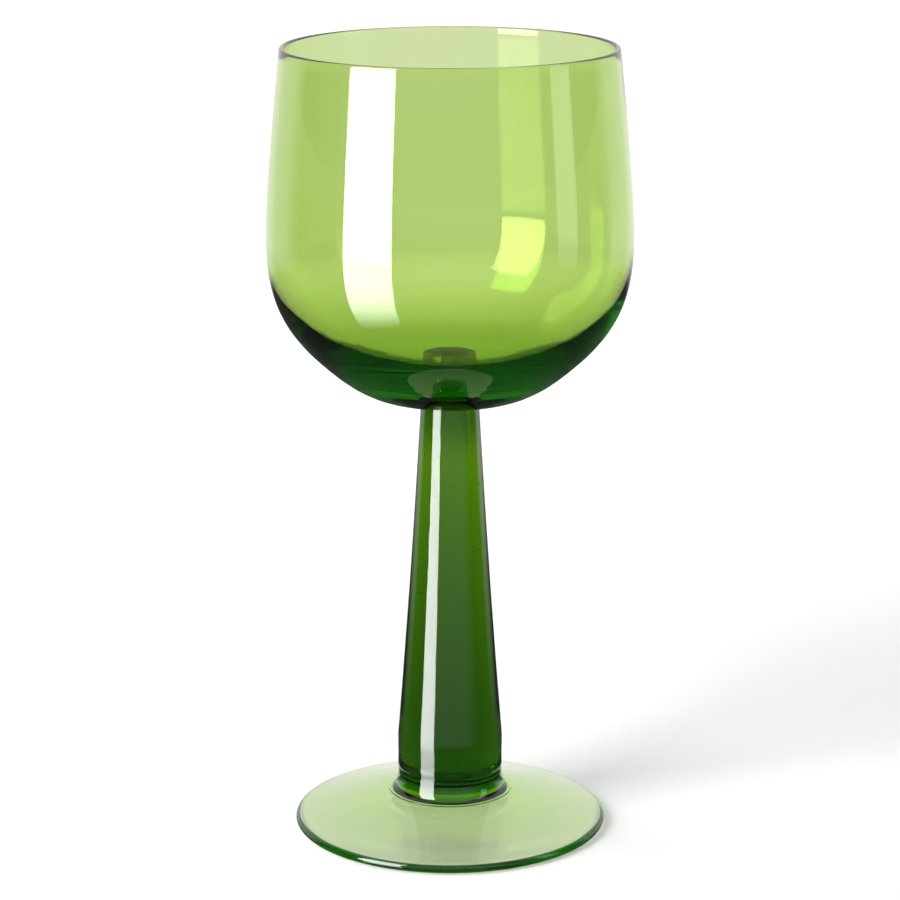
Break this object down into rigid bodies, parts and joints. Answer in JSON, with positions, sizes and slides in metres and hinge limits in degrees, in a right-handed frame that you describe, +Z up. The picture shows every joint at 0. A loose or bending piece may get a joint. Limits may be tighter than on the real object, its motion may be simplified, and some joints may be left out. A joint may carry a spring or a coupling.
{
  "type": "wine glass",
  "caption": "Wine glass in transparent green glass: a deep rounded bowl with a thick floor, a solid tapering stem with a flared heel, and a domed disc foot.",
  "frame": {"origin": "centre of the foot's underside, on the surface that the glass stands on", "axes": "+Z up along the glass's axis, from the foot to the rim; the glass is round, so X and Y are alike"},
  "size_m": [0.0914, 0.0914, 0.2],
  "materials": {
    "bowl_glass": "clear lime green, fire polished",
    "stem_glass": "clear green, dark through its thickness, fire polished",
    "foot_glass": "clear light green, fire polished"
  },
  "bodies": {
    "root": {"bowl": "bowl_glass", "stem": "stem_glass", "foot": "foot_glass"}
  },
  "joints": []
}
